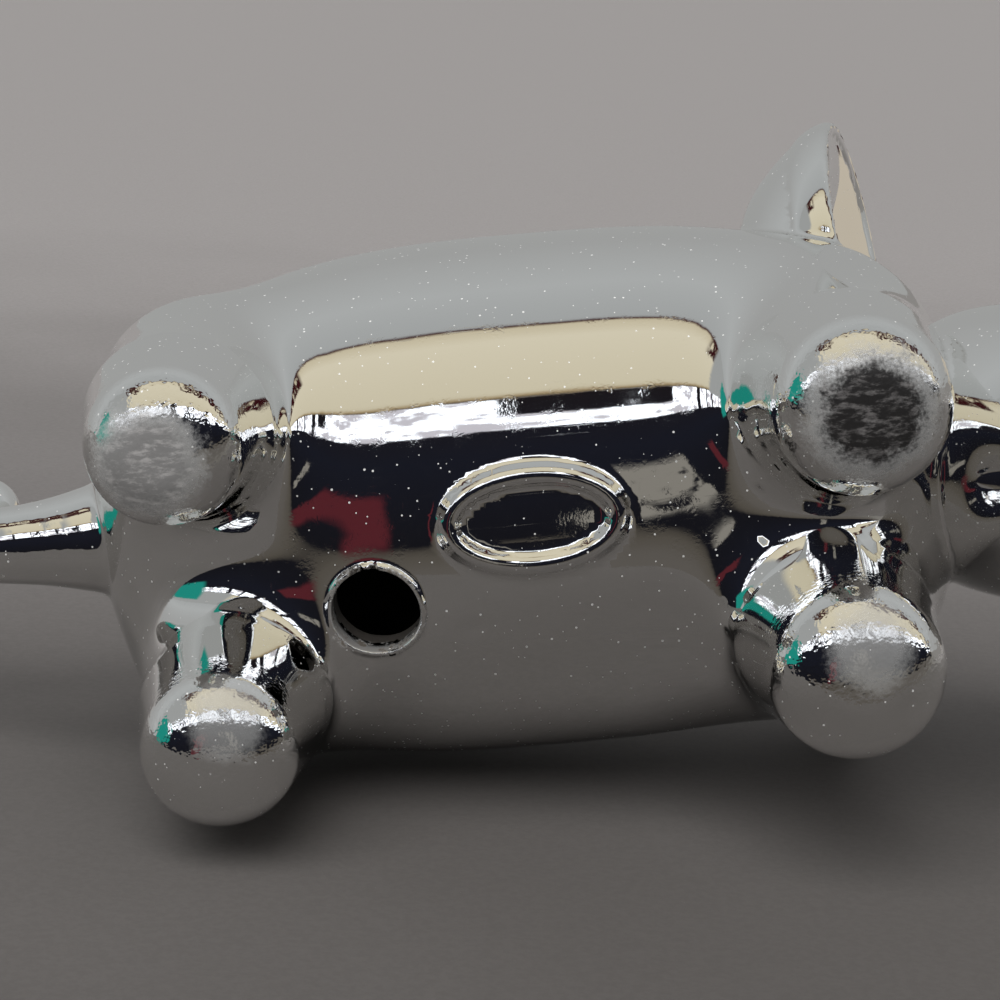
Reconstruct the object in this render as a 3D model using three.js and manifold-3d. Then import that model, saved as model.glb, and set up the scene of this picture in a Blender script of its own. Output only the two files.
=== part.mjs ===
// Small standing elephant figurine, slip cast in ceramic and finished with a mirror metal plating.
// Millimetres, +Z up, +X towards the head, +Y towards the animal's left.
// The castings are separate solids that seat on each other with a hairline luting gap.
import * as THREE from 'three';
import { mergeVertices } from 'three/addons/utils/BufferGeometryUtils.js';
import Module from 'manifold-3d';

const wasm = await Module();
wasm.setup();

// Fits
const lutingGap = 0.3;

// Facets
const bodyRows = 28;
const bodySides = 36;
const wallRows = 14;
const wallSides = 24;
const headRows = 20;
const headSides = 28;
const legSides = 20;
const earRows = 14;
const earSides = 24;
const trunkRows = 30;
const trunkSides = 18;
const tailRows = 28;
const tailSides = 14;
const boreSides = 28;
const cartoucheSteps = 34;
const beadSides = 8;

// Body barrel
const bodyHalfLength = 41.6;
const bodyHalfWidth = 24.9;
const backRise = 26;
const bellyDrop = 24.2;
const bodyAxisHeight = 38;
const rumpFullness = 2.55;
const chestFullness = 3;
const backArchFall = 0.2;
const bodySectionFullness = 2.15;
const spineBlend = 0.6;
const bodyWall = 3.4;

// Drain hole in the belly, with its rolled lip
const drainBore = 8;
const drainLip = 0.6;
const drainBehind = 14.4;
const drainLeft = 5.2;

// Legs, measured from the middle of the barrel, with the small skew that the mould gave each pair
const hindBehind = 29.3;
const hindApart = 13.5;
const hindSkew = 0.9;
const hindFoot = 6.7;
const hindShank = 6.4;
const hindRoot = 6.4;
const frontAhead = 28;
const frontApart = 11.7;
const frontSkew = -0.9;
const frontFoot = 7.6;
const frontShank = 7.4;
const frontRoot = 5.9;
const footFullness = 2.4;
const soleRadius = 3.2;
const ankleShare = 0.58;
const rootSweep = Math.PI * 0.4;

// Head, as an egg with soft swellings
const neckReach = 9.4;
const headDrop = 2.5;
const headHalfLength = 17.5;
const headHalfWidth = 13.8;
const headHalfHeight = 19;
const crownSwell = 2.2;
const cheekSwell = 2.6;
const napeSwell = 3;
const chinSwell = 2.6;
const templeHollow = 1.6;
const eyeRadius = 1.5;
const eyeProud = 0.75;
const eyeTurn = THREE.MathUtils.degToRad(52);
const eyeLift = THREE.MathUtils.degToRad(16);

// Ears: thick cast shells with a bulging back, a dished front and a round rim
const earBehind = 15.2;
const earRootSink = 1;
const earRaise = 12.5;
const earReach = 19.4;
const earRootOverlap = 4;
const earTall = 27;
const earBackBulge = 9.6;
const earDish = 3;
const earEdge = 1.4;
const earFlare = THREE.MathUtils.degToRad(80);
const earTip = 0.26;
const earTopFullness = 0.15;
const earRimShare = 0.28;

// Trunk, raised in an S: steps forward and up from the middle of the head
const trunkRootRadius = 7.6;
const trunkFlare = 1.6;
const trunkNeckRadius = 4.3;
const trunkMouthRadius = 4.9;
const nostrilDepth = 2.2;
const nostrilSteepness = 2.2;
const trunkSlimming = [0.1, 0.75];
const trunkFlareShare = 0.2;
const trunkMouthFrom = 0.86;
const trunkRoute = [
  [5, -1], [15.5, -6], [24, -8], [31, -3.5],
  [33.6, 5.5], [31.4, 15.5], [28.4, 24], [30.2, 31],
];

// Tail, with its flared root and a plump curled tip: steps behind the rump, to the left, and up
const tailRootRadius = 4.4;
const tailRadius = 3.6;
const tailTipRadius = 3.9;
const tailFlare = 1.7;
const tailSlimming = [0.1, 0.45];
const tailFlareShare = 0.17;
const tailPlumping = [0.8, 0.97];
const tailRoute = [
  [-6, 1.2, -4], [2.4, 1.2, -4.6], [11, 1.2, -3.6],
  [17.6, 1.3, 1.8], [18.4, 1.5, 9], [13.6, 1.6, 13.8],
];

// How far the round ends of trunk and tail reach, as a share of their radius
const tubeEndReach = 0.8;

// Plain raised oval on the belly
const cartoucheForward = 0.4;
const cartoucheRight = 2.2;
const cartoucheLength = 17;
const cartoucheWidth = 10;
const cartoucheBead = 1.8;

// A point of the curve |x|^power + |y|^power = 1, at an even angle
function superArc(angle, power) {
  const c = Math.cos(angle);
  const s = Math.sin(angle);
  const reach = (Math.abs(c) ** power + Math.abs(s) ** power) ** (-1 / power);
  return [c * reach, s * reach];
}

// Closed skin from rings between two poles: pointAt(row share, side share)
function polarSkin(rows, sides, pointAt) {
  const points = [pointAt(0, 0)];
  for (let row = 1; row < rows; row += 1) {
    for (let side = 0; side < sides; side += 1) points.push(pointAt(row / rows, side / sides));
  }
  points.push(pointAt(1, 0));
  const last = points.length - 1;
  const at = (row, side) => 1 + (row - 1) * sides + (side % sides);
  const faces = [];
  for (let side = 0; side < sides; side += 1) {
    faces.push(0, at(1, side), at(1, side + 1));
    faces.push(last, at(rows - 1, side + 1), at(rows - 1, side));
    for (let row = 1; row < rows - 1; row += 1) {
      faces.push(at(row, side), at(row + 1, side), at(row + 1, side + 1));
      faces.push(at(row, side), at(row + 1, side + 1), at(row, side + 1));
    }
  }
  return skin(points, faces);
}

// Closed skin round a loop: pointAt(share along the loop, share round the bead)
function loopSkin(steps, sides, pointAt) {
  const points = [];
  const faces = [];
  const at = (step, side) => (step % steps) * sides + (side % sides);
  for (let step = 0; step < steps; step += 1) {
    for (let side = 0; side < sides; side += 1) {
      points.push(pointAt(step / steps, side / sides));
      faces.push(at(step, side), at(step + 1, side), at(step + 1, side + 1));
      faces.push(at(step, side), at(step + 1, side + 1), at(step, side + 1));
    }
  }
  return skin(points, faces);
}

function skin(points, faces) {
  const geometry = new THREE.BufferGeometry().setFromPoints(points);
  geometry.setIndex(faces);
  return geometry;
}

// A closed geometry as a solid that can be cut and joined, turned right side out
function solid(geometry) {
  const bare = geometry.clone();
  bare.deleteAttribute('normal');
  bare.deleteAttribute('uv');
  const merged = mergeVertices(bare, 1e-4);
  const triVerts = Uint32Array.from(merged.index.array);
  if (signedVolume(merged) < 0) {
    for (let i = 0; i < triVerts.length; i += 3) triVerts.subarray(i, i + 2).reverse();
  }
  const vertProperties = Float32Array.from(merged.attributes.position.array);
  return new wasm.Manifold(new wasm.Mesh({ numProp: 3, vertProperties, triVerts }));
}

function signedVolume(geometry) {
  const { position } = geometry.attributes;
  const corner = (i) => new THREE.Vector3().fromBufferAttribute(position, geometry.index.getX(i));
  let total = 0;
  for (let i = 0; i < geometry.index.count; i += 3) {
    total += corner(i).dot(corner(i + 1).cross(corner(i + 2)));
  }
  return total / 6;
}

function meshOf(name, shape, material) {
  const { vertProperties, triVerts, numProp } = shape.getMesh();
  const points = new Float32Array((vertProperties.length / numProp) * 3);
  for (let i = 0; i < points.length / 3; i += 1) {
    points.set(vertProperties.subarray(i * numProp, i * numProp + 3), i * 3);
  }
  const geometry = new THREE.BufferGeometry();
  geometry.setAttribute('position', new THREE.BufferAttribute(points, 3));
  geometry.setIndex(new THREE.BufferAttribute(Uint32Array.from(triVerts), 1));
  geometry.computeVertexNormals();
  const mesh = new THREE.Mesh(geometry, material);
  mesh.name = name;
  return mesh;
}

// Barrel of the body, grown or shrunk all round by an offset
function bodyPoint(along, round, grow) {
  const [end, girth] = superArc(Math.PI * along, along < 0.5 ? rumpFullness : chestFullness);
  const [side, up] = superArc(2 * Math.PI * round, bodySectionFullness);
  const back = (backRise + grow) * (1 - backArchFall * end * end);
  const share = THREE.MathUtils.smoothstep(up, -spineBlend, spineBlend);
  const rise = THREE.MathUtils.lerp(bellyDrop + grow, back, share);
  return new THREE.Vector3(
    -end * (bodyHalfLength + grow),
    side * girth * (bodyHalfWidth + grow),
    bodyAxisHeight + up * girth * rise,
  );
}

function barrel(grow, rows, sides) {
  return solid(polarSkin(rows, sides, (along, round) => bodyPoint(along, round, grow)));
}

// Height of the belly surface over a place on the ground
function bellyHeight(forward, side) {
  const end = Math.min(1, Math.abs(forward) / bodyHalfLength);
  const fullness = forward < 0 ? rumpFullness : chestFullness;
  const girth = (1 - end ** fullness) ** (1 / fullness);
  const share = girth > 0 ? Math.abs(side) / (bodyHalfWidth * girth) : 1;
  if (share >= 1) return bodyAxisHeight;
  const drop = (1 - share ** bodySectionFullness) ** (1 / bodySectionFullness);
  return bodyAxisHeight - bellyDrop * girth * drop;
}

// Outward direction of the belly surface at a place
function bellyNormal(forward, side) {
  const step = 0.05;
  const slopeX = (bellyHeight(forward + step, side) - bellyHeight(forward - step, side)) / (2 * step);
  const slopeY = (bellyHeight(forward, side + step) - bellyHeight(forward, side - step)) / (2 * step);
  return new THREE.Vector3(slopeX, slopeY, -1).normalize();
}

// Hollow cast barrel with the drain bore through its belly and a rolled lip round the bore
function bodyShell() {
  const spot = new THREE.Vector3(-drainBehind, drainLeft, bellyHeight(-drainBehind, drainLeft));
  const turn = new THREE.Quaternion().setFromUnitVectors(
    new THREE.Vector3(0, 1, 0),
    bellyNormal(-drainBehind, drainLeft),
  );
  const seat = (geometry) => solid(geometry.applyQuaternion(turn).translate(spot.x, spot.y, spot.z));
  const ring = new THREE.TorusGeometry((drainBore + drainLip) / 2, drainLip, beadSides, boreSides);
  const lip = seat(ring.rotateX(Math.PI / 2));
  const bore = seat(new THREE.CylinderGeometry(drainBore / 2, drainBore / 2, 4 * bodyWall, boreSides));
  const cavity = barrel(-bodyWall, wallRows, wallSides);
  return barrel(0, bodyRows, bodySides).add(lip).subtract(cavity).subtract(bore);
}

// Stub leg: flat sole patch, ball foot, shank, and a root that swells into the belly or ends on the flank
function leg(forward, side, foot, shank, root) {
  const soleShare = soleRadius / foot;
  const footShare = (1 - soleShare ** footFullness) ** (1 / footFullness);
  const soleTurn = Math.atan2(soleShare, footShare);
  const footCentre = foot * footShare;
  const hipHeight = bodyAxisHeight - bellyDrop / 2;
  const apex = new THREE.Vector3(forward, side / 2, bodyAxisHeight);
  const place = (radius, cos, sin) => [forward + radius * cos, side + radius * sin];
  const at = (radius, height) => (cos, sin) => new THREE.Vector3(...place(radius, cos, sin), height);
  const rootRing = (angle, inward) => (cos, sin) => {
    const start = bellyHeight(...place(shank, cos, sin));
    const climb = bellyHeight(...place(shank + root, cos, sin)) - start;
    const low = 1 - THREE.MathUtils.smoothstep(start, hipHeight - root, hipHeight);
    const swell = low * root * (1 - Math.atan2(Math.abs(climb), root) / (Math.PI / 2));
    const spot = place(shank + swell * (1 - Math.cos(angle)), cos, sin);
    const top = Math.min(bellyHeight(...spot), hipHeight);
    return new THREE.Vector3(...spot, top - swell * (1 - Math.sin(angle))).lerp(apex, inward);
  };
  const rings = [at(0, 0)];
  const ballSteps = 5;
  for (let i = 0; i <= ballSteps; i += 1) {
    const turn = THREE.MathUtils.lerp(soleTurn, Math.PI / 2, i / ballSteps);
    const [drop, girth] = superArc(turn, footFullness);
    rings.push(at(foot * girth, footCentre - foot * drop));
  }
  const shankSteps = 3;
  for (let i = 1; i <= shankSteps; i += 1) {
    const share = i / (shankSteps + 1);
    const radius = THREE.MathUtils.lerp(foot, shank, THREE.MathUtils.smoothstep(share, 0, ankleShare));
    rings.push((cos, sin) => {
      const height = THREE.MathUtils.lerp(footCentre, rootRing(0, 0)(cos, sin).z, share);
      return at(radius, height)(cos, sin);
    });
  }
  const rootSteps = 5;
  for (let i = 0; i <= rootSteps; i += 1) rings.push(rootRing((rootSweep * i) / rootSteps, 0));
  for (const inward of [0.15, 0.5]) rings.push(rootRing(rootSweep, inward));
  rings.push(() => apex);
  return solid(polarSkin(rings.length - 1, legSides, (row, round) => {
    const ring = rings[Math.round(row * (rings.length - 1))];
    return ring(Math.cos(2 * Math.PI * round), Math.sin(2 * Math.PI * round));
  }));
}

const frontLeg = (sign) => (
  leg(frontAhead + sign * frontSkew, sign * frontApart, frontFoot, frontShank, frontRoot)
);
const hindLeg = (sign) => (
  leg(sign * hindSkew - hindBehind, sign * hindApart, hindFoot, hindShank, hindRoot)
);

// Soft swellings of the head: direction, height and spread of each
const headLobes = [
  { towards: [0.1, 0.45, 1], height: crownSwell, spread: 0.55 },
  { towards: [0.1, -0.45, 1], height: crownSwell, spread: 0.55 },
  { towards: [0.3, 0.85, -0.55], height: cheekSwell, spread: 0.6 },
  { towards: [0.3, -0.85, -0.55], height: cheekSwell, spread: 0.6 },
  { towards: [0.75, 0, -0.8], height: chinSwell, spread: 0.4 },
  { towards: [-0.55, 1, 0.3], height: napeSwell, spread: 0.5 },
  { towards: [-0.55, -1, 0.3], height: napeSwell, spread: 0.5 },
  { towards: [0.75, 1, 0.45], height: -templeHollow, spread: 0.45 },
  { towards: [0.75, -1, 0.45], height: -templeHollow, spread: 0.45 },
];
const headMiddle = new THREE.Vector3(bodyHalfLength + neckReach, 0, bodyAxisHeight - headDrop);

// Point of the head's surface in a direction from its middle
function headSurface(towards, grow) {
  const point = towards.clone().multiply(
    new THREE.Vector3(headHalfLength, headHalfWidth, headHalfHeight).addScalar(grow),
  );
  const heading = towards.clone().normalize();
  for (const lobe of headLobes) {
    const apart = heading.angleTo(new THREE.Vector3(...lobe.towards));
    point.addScaledVector(heading, lobe.height * Math.exp(-((apart / lobe.spread) ** 2)));
  }
  return point.add(headMiddle);
}

function headEgg(grow) {
  return solid(polarSkin(headRows, headSides, (along, round) => {
    const polar = Math.PI * along;
    const turn = 2 * Math.PI * round;
    const ring = Math.sin(polar);
    const towards = new THREE.Vector3(Math.cos(polar), ring * Math.cos(turn), ring * Math.sin(turn));
    return headSurface(towards, grow);
  }));
}

function head() {
  let shape = headEgg(0);
  for (const sign of [-1, 1]) {
    const towards = new THREE.Vector3(Math.cos(eyeTurn), sign * Math.sin(eyeTurn), Math.tan(eyeLift));
    towards.normalize();
    const spot = headSurface(towards, 0).addScaledVector(towards, eyeProud - eyeRadius);
    shape = shape.add(solid(new THREE.SphereGeometry(eyeRadius, 12, 8).translate(spot.x, spot.y, spot.z)));
  }
  return shape;
}

// Shell of an ear, its top tipped forward
function ear(sign) {
  const chord = new THREE.Vector3(-Math.cos(earFlare), sign * Math.sin(earFlare), 0);
  const front = new THREE.Vector3(Math.sin(earFlare), sign * Math.cos(earFlare), 0);
  const up = new THREE.Vector3(0, 0, 1).addScaledVector(front, earTip).normalize();
  const half = (earReach + earRootOverlap) / 2;
  const flat = 1 - earEdge / half;
  const sag = (earBackBulge + earDish) / 2;
  const face = (1 - earRimShare) / 2;
  const middle = headMiddle.clone()
    .add(new THREE.Vector3(-earBehind, sign * (headHalfWidth - earRootSink), earRaise))
    .addScaledVector(chord, half - earRootOverlap);
  return solid(polarSkin(earRows, earSides, (row, round) => {
    const rim = Math.PI * THREE.MathUtils.clamp((row - face) / earRimShare, 0, 1);
    const spread = flat * Math.min(Math.min(row, 1 - row) / face, 1) + (1 - flat) * Math.sin(rim);
    const thick = earEdge + (sag - earDish) * Math.max(0, 1 - (spread / flat) ** 2);
    const lean = Math.hypot(1, (2 * sag * spread) / half);
    const turn = 2 * Math.PI * round;
    return middle.clone()
      .addScaledVector(chord, spread * half * Math.cos(turn) * (1 + earTopFullness * Math.sin(turn)))
      .addScaledVector(up, spread * (earTall / 2) * Math.sin(turn))
      .addScaledVector(front, thick * Math.cos(rim) * lean - sag * (1 - spread * spread));
  }));
}

// Tube of changing radius along a smooth route, with rounded ends
function taperedTube(curve, rows, sides, radiusAt, endDips) {
  const capRows = 4;
  const middleRows = rows - 2 * capRows;
  const frames = curve.computeFrenetFrames(middleRows, false);
  return solid(polarSkin(rows, sides, (row, round) => {
    const step = Math.round(row * rows) - capRows;
    const index = THREE.MathUtils.clamp(step, 0, middleRows);
    const past = Math.max(-step, step - middleRows, 0);
    const radius = radiusAt(index / middleRows);
    const turn = (Math.PI / 2) * (past / capRows);
    const dip = step > middleRows ? endDips : 0;
    const hollow = dip * nostrilSteepness * (past / capRows) ** 2;
    const reach = Math.sign(step - index) * (radius * tubeEndReach * Math.sin(turn) - hollow);
    const around = 2 * Math.PI * round;
    return curve.getPointAt(index / middleRows)
      .addScaledVector(frames.tangents[index], reach)
      .addScaledVector(frames.normals[index], radius * Math.cos(turn) * Math.cos(around))
      .addScaledVector(frames.binormals[index], radius * Math.cos(turn) * Math.sin(around));
  }));
}

function trunk() {
  const route = trunkRoute.map(([ahead, up]) => headMiddle.clone().add(new THREE.Vector3(ahead, 0, up)));
  const curve = new THREE.CatmullRomCurve3(route, false, 'centripetal');
  const { lerp, smoothstep } = THREE.MathUtils;
  const radiusAt = (share) => {
    const slim = lerp(trunkRootRadius, trunkNeckRadius, smoothstep(share, ...trunkSlimming));
    const flare = trunkFlare * Math.exp(-((share / trunkFlareShare) ** 2));
    return lerp(slim, trunkMouthRadius, smoothstep(share, trunkMouthFrom, 1)) + flare;
  };
  return taperedTube(curve, trunkRows, trunkSides, radiusAt, nostrilDepth);
}

function tail() {
  const route = tailRoute.map(([behind, left, up]) => (
    new THREE.Vector3(-bodyHalfLength - behind, left, bodyAxisHeight + up)
  ));
  const curve = new THREE.CatmullRomCurve3(route, false, 'centripetal');
  const { smoothstep } = THREE.MathUtils;
  const radiusAt = (share) => {
    const root = (tailRootRadius - tailRadius) * (1 - smoothstep(share, ...tailSlimming));
    const flare = tailFlare * Math.exp(-((share / tailFlareShare) ** 2));
    const tip = (tailTipRadius - tailRadius) * smoothstep(share, ...tailPlumping);
    return tailRadius + root + flare + tip;
  };
  return taperedTube(curve, tailRows, tailSides, radiusAt, 0);
}

// Oval bead that lies on the curve of the belly
function cartouche() {
  return solid(loopSkin(cartoucheSteps, beadSides, (along, round) => {
    const turn = 2 * Math.PI * along;
    const bead = 2 * Math.PI * round;
    const out = (cartoucheBead / 2) * Math.cos(bead);
    const forward = cartoucheForward + (cartoucheLength / 2 - cartoucheBead / 2 + out) * Math.cos(turn);
    const side = (cartoucheWidth / 2 - cartoucheBead / 2 + out) * Math.sin(turn) - cartoucheRight;
    const height = bellyHeight(forward, side) - (cartoucheBead / 2) * Math.sin(bead);
    return new THREE.Vector3(forward, side, height);
  }));
}

const plating = (roughness) => new THREE.MeshStandardMaterial({ color: 0xc9cac8, metalness: 1, roughness });

// Everything that seats on the body or the head is cut back by the same shape grown by the gap
const bodySeat = barrel(lutingGap, bodyRows, bodySides);
const headSeat = headEgg(lutingGap);

const figurine = new THREE.Group();
figurine.add(meshOf('body_shell', bodyShell(), plating(0.06)));
figurine.add(meshOf('head', head().subtract(bodySeat), plating(0.06)));
figurine.add(meshOf('trunk', trunk().subtract(headSeat), plating(0.06)));
figurine.add(meshOf('tail', tail().subtract(bodySeat), plating(0.06)));
figurine.add(meshOf('belly_cartouche', cartouche().subtract(bodySeat), plating(0.08)));
for (const [word, sign] of [['left', 1], ['right', -1]]) {
  figurine.add(meshOf(`ear_${word}`, ear(sign).subtract(headSeat).subtract(bodySeat), plating(0.06)));
  figurine.add(meshOf(`leg_front_${word}`, frontLeg(sign).subtract(bodySeat), plating(0.1)));
  figurine.add(meshOf(`leg_hind_${word}`, hindLeg(sign).subtract(bodySeat), plating(0.1)));
}

// The origin lies on the ground under the middle of the whole figurine
const reach = new THREE.Box3().setFromObject(figurine);
const middle = reach.getCenter(new THREE.Vector3());
figurine.position.set(-middle.x, -middle.y, -reach.min.z);

export default figurine;
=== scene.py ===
import math
import bpy
import numpy as np
import openvdb
from mathutils import Matrix, Vector


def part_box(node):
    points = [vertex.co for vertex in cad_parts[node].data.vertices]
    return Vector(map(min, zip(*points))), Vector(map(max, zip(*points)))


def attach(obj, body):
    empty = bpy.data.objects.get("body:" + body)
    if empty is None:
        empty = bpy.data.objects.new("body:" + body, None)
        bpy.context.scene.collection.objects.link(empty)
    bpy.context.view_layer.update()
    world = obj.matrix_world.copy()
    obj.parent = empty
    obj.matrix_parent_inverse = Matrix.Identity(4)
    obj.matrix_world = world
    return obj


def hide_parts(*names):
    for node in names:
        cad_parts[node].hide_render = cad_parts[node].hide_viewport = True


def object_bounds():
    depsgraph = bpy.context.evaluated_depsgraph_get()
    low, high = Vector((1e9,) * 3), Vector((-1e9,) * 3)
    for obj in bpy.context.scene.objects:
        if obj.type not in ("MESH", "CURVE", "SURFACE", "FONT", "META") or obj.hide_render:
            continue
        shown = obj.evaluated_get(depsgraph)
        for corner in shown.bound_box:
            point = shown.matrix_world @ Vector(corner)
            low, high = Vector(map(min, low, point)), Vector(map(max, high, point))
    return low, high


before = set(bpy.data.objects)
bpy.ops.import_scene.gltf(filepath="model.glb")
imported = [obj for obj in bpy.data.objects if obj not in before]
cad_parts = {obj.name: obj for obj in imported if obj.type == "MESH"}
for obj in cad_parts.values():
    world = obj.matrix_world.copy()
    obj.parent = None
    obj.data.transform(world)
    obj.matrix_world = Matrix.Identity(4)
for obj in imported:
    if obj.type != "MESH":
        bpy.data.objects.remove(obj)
cadLow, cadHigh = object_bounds()
bodyLow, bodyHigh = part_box("body_shell")
mm = 0.001
# The castings are worked out in mm: x forward from the barrel's middle, y to the animal's left, z up
barrelMiddle = (bodyLow.x + bodyHigh.x) / 2 / mm
farAway = 20.0  # the distance that stands where a casting isn't worked out


def smoothStep(value, low, high):
    share = np.clip((value - low) / (high - low), 0, 1)
    return share * share * (3 - 2 * share)


def merge(a, b, blend):  # smooth union of two distances
    near = np.maximum(blend - np.abs(a - b), 0) / blend
    return np.minimum(a, b) - near ** 3 * blend / 6


def carve(a, cutter, blend):  # a without the cutter, with a soft edge
    return -merge(-a, cutter, blend)


def evened(shape, points, step=0.04):  # a level function turned into a distance near its surface
    value = shape(points)
    slope = np.zeros(len(points))
    for axis in range(3):
        moved = points.copy()
        moved[:, axis] += step
        slope += ((shape(moved) - value) / step) ** 2
    return value / np.sqrt(np.maximum(slope, 1e-8))


# The barrel: fullness 2 is an ellipse, and more is boxier
barrel = dict(halfLength=41.6, halfWidth=24.9, backRise=26.0, bellyDrop=24.2, axisHeight=38.0, wall=3.4,
              rumpFullness=2.55, chestFullness=3.0, sectionFullness=2.15, archFall=0.2, spineBlend=0.6,
              cavityEdge=0.05)


def barrelLevel(points, grow=0.0):
    b = barrel
    end = np.abs(points[:, 0]) / (b["halfLength"] + grow)
    up = points[:, 2] - b["axisHeight"]
    n = np.where(points[:, 0] < 0, b["rumpFullness"], b["chestFullness"])
    girth = np.maximum(1 - np.minimum(end, 1) ** n, 1e-3) ** (1 / n)
    share = smoothStep(up / (b["bellyDrop"] * girth), -b["spineBlend"], b["spineBlend"])
    back = (b["backRise"] + grow) * (1 - b["archFall"] * np.minimum(end, 1) ** 2)
    rise = (1 - share) * (b["bellyDrop"] + grow) + share * back
    m = b["sectionFullness"]
    ring = ((np.abs(points[:, 1]) / (b["halfWidth"] + grow)) ** m + (np.abs(up) / rise) ** m) ** (1 / m)
    return (end ** n + ring ** n) ** (1 / n) - 1


def barrelField(points, grow=0.0):
    return evened(lambda p: barrelLevel(p, grow), points)


def bellyPoint(forward, side):  # the belly surface under a place, with its outward direction
    low, high = 0.0, barrel["axisHeight"]
    for _ in range(40):
        height = (low + high) / 2
        outside = barrelLevel(np.array([[forward, side, height]]))[0] > 0
        low, high = (height, high) if outside else (low, height)
    spot = np.array([[forward, side, high]])
    slope = [barrelLevel(spot + np.eye(3)[i] * 0.01)[0] - barrelLevel(spot)[0] for i in range(3)]
    return spot[0], np.array(slope) / np.linalg.norm(slope)


# The legs: place, radii, fillet into the belly, how worn the sole is, and how far ahead, how far beside and
# how wide it is rubbed
legs = dict(
    leg_hind_left=dict(forward=-28.4, side=13.5, foot=6.9, shank=8.3, blend=10.0,
                       wear=0.25, rub=(1.2, -3.4, 0.62)),
    leg_hind_right=dict(forward=-30.2, side=-13.5, foot=6.9, shank=8.3, blend=10.0,
                        wear=0.8, rub=(-1.2, 0.8, 0.85)),
    leg_front_left=dict(forward=27.1, side=11.7, foot=7.8, shank=8.8, blend=11.0,
                        wear=0.3, rub=(0.8, -3.2, 0.68)),
    leg_front_right=dict(forward=28.9, side=-11.7, foot=7.8, shank=8.8, blend=11.0,
                         wear=1.0, rub=(0.2, 0.0, 1.0)),
)
legBuild = dict(sole=2.4, round=0.62, top=26.0, soleEdge=0.6, filletReach=13.0)


def legField(points, leg):  # a domed foot on a short cone with a round top inside the body
    foot, shank = leg["foot"], leg["shank"]
    dome = foot * legBuild["round"]
    centre = dome * math.sqrt(1 - (legBuild["sole"] / foot) ** 2)
    belly = barrel["axisHeight"] - barrel["bellyDrop"]
    taper = (shank - foot) / (belly - centre)

    def level(p):
        z = p[:, 2] - centre
        radius = foot + taper * np.clip(z, -dome, belly - centre)
        across = np.hypot(p[:, 0] - leg["forward"], p[:, 1] - leg["side"]) / radius
        return np.hypot(across, np.maximum(-z, 0) / dome + np.maximum(z - legBuild["top"], 0) / shank) - 1
    return carve(evened(level, points), points[:, 2], legBuild["soleEdge"])


skull = dict(forward=51.0, height=35.5, halfLength=17.5, halfWidth=13.1, halfHeight=19.0, neckBlend=1.2,
             reach=22)
skullMiddle = np.array((skull["forward"], 0, skull["height"]))
skullLobes = [  # direction, height and spread of each soft swelling or hollow
    ((0.1, 0.45, 1.0), 2.2, 0.55),
    ((0.1, -0.45, 1.0), 2.2, 0.55),
    ((0.3, 0.85, -0.55), 2.6, 0.6),
    ((0.3, -0.85, -0.55), 2.6, 0.6),
    ((0.75, 0.0, -0.8), 2.6, 0.4),
    ((-0.55, 1.0, 0.3), 1.6, 0.5),
    ((-0.55, -1.0, 0.3), 1.6, 0.5),
    ((0.75, 1.0, 0.45), -1.6, 0.45),
    ((0.75, -1.0, 0.45), -1.6, 0.45),
]


def skullSwell(heading):  # how far the swellings and hollows move the skull's surface, in a direction
    swell = np.zeros(len(heading))
    for towards, height, spread in skullLobes:
        unit = np.array(towards) / np.linalg.norm(towards)
        apart = np.arccos(np.clip(heading @ unit, -1, 1))
        swell += height * np.exp(-((apart / spread) ** 2))
    return swell


def skullField(points):
    halves = np.array((skull["halfLength"], skull["halfWidth"], skull["halfHeight"]))
    local = points - skullMiddle
    size = np.linalg.norm(local / halves, axis=1)
    heading = local / halves / np.maximum(size, 1e-6)[:, None]
    return (size - 1) * np.min(halves) - skullSwell(heading)


eye = dict(turn=math.radians(52), lift=math.radians(16), radius=1.5, proud=0.75, blend=0.5)


def eyeSpot(sign):
    level = math.cos(eye["lift"])
    ahead, beside = level * math.cos(eye["turn"]), sign * level * math.sin(eye["turn"])
    towards = np.array((ahead, beside, math.sin(eye["lift"])))
    halves = np.array((skull["halfLength"], skull["halfWidth"], skull["halfHeight"]))
    surface = skullMiddle + towards * halves + towards * skullSwell(towards[None])[0]
    return surface + towards * (eye["proud"] - eye["radius"])


ear = dict(behind=15.2, rootSink=0.3, rise=12.5, reach=19.4, rootOverlap=4.0, tall=27.0, backBulge=9.6,
           dish=3.0, edge=1.4, flare=math.radians(80), tip=0.26, topFullness=0.15, blend=1.6, boxReach=15)


def earAxes(sign):
    e = ear
    chord = np.array((-math.cos(e["flare"]), sign * math.sin(e["flare"]), 0))
    front = np.array((math.sin(e["flare"]), sign * math.cos(e["flare"]), 0))
    up = np.array((0, 0, 1)) + front * e["tip"]
    half = (e["reach"] + e["rootOverlap"]) / 2
    root = skullMiddle + (-e["behind"], sign * (skull["halfWidth"] - e["rootSink"]), e["rise"])
    axes = np.stack([chord, up / np.linalg.norm(up), front], axis=1)
    return axes, root + chord * (half - e["rootOverlap"]), half


def earLevel(points, sign):  # a curved shell with a bulging back, a dished front and a round rim
    axes, middle, half = earAxes(sign)
    local = (points - middle) @ np.linalg.inv(axes).T
    tall = local[:, 1] / (ear["tall"] / 2)
    wide = local[:, 0] / half
    rise = tall / np.maximum(np.hypot(wide, tall), 1e-6)
    spread = np.hypot(wide / (1 + ear["topFullness"] * rise), tall)
    flat = 1 - ear["edge"] / half
    sag = (ear["backBulge"] + ear["dish"]) / 2
    bend = np.minimum(spread, 1.2)
    away = (local[:, 2] + sag * (1 - bend ** 2)) / np.hypot(1, 2 * sag * bend / half)
    thick = ear["edge"] + (sag - ear["dish"]) * np.maximum(1 - (spread / flat) ** 2, 0)
    return np.hypot(np.maximum(spread - flat, 0) * half, away) - thick


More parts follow.
